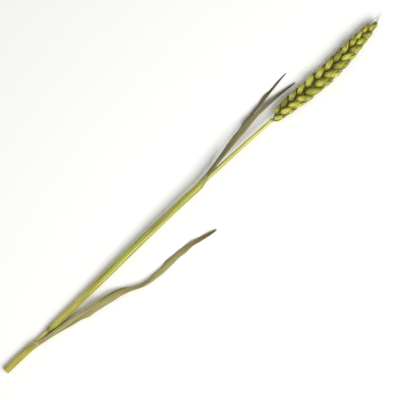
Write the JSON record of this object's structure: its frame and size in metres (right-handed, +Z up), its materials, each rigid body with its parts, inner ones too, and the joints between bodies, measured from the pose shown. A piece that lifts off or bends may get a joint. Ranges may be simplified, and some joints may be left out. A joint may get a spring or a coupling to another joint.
{
  "type": "wheat ear",
  "caption": "Dried, dyed ear of bread wheat, nearly without awns, on its own cut stalk with two dry leaves, lying flat on a surface.",
  "frame": {"origin": "on the surface that the ear lies on, under the middle of its bounding box", "axes": "+X along the stalk from its cut end to the tip of the ear, +Z up from the surface"},
  "size_m": [0.3384, 0.0452, 0.0108],
  "materials": {
    "dyed_straw": "satin",
    "dyed_husk": "matte",
    "flag_leaf": "matte",
    "lower_leaf": "matte"
  },
  "bodies": {
    "root": {"culm": "dyed_straw", "ear": "dyed_husk", "flag_leaf": "flag_leaf", "lower_leaf": "lower_leaf"}
  },
  "joints": []
}
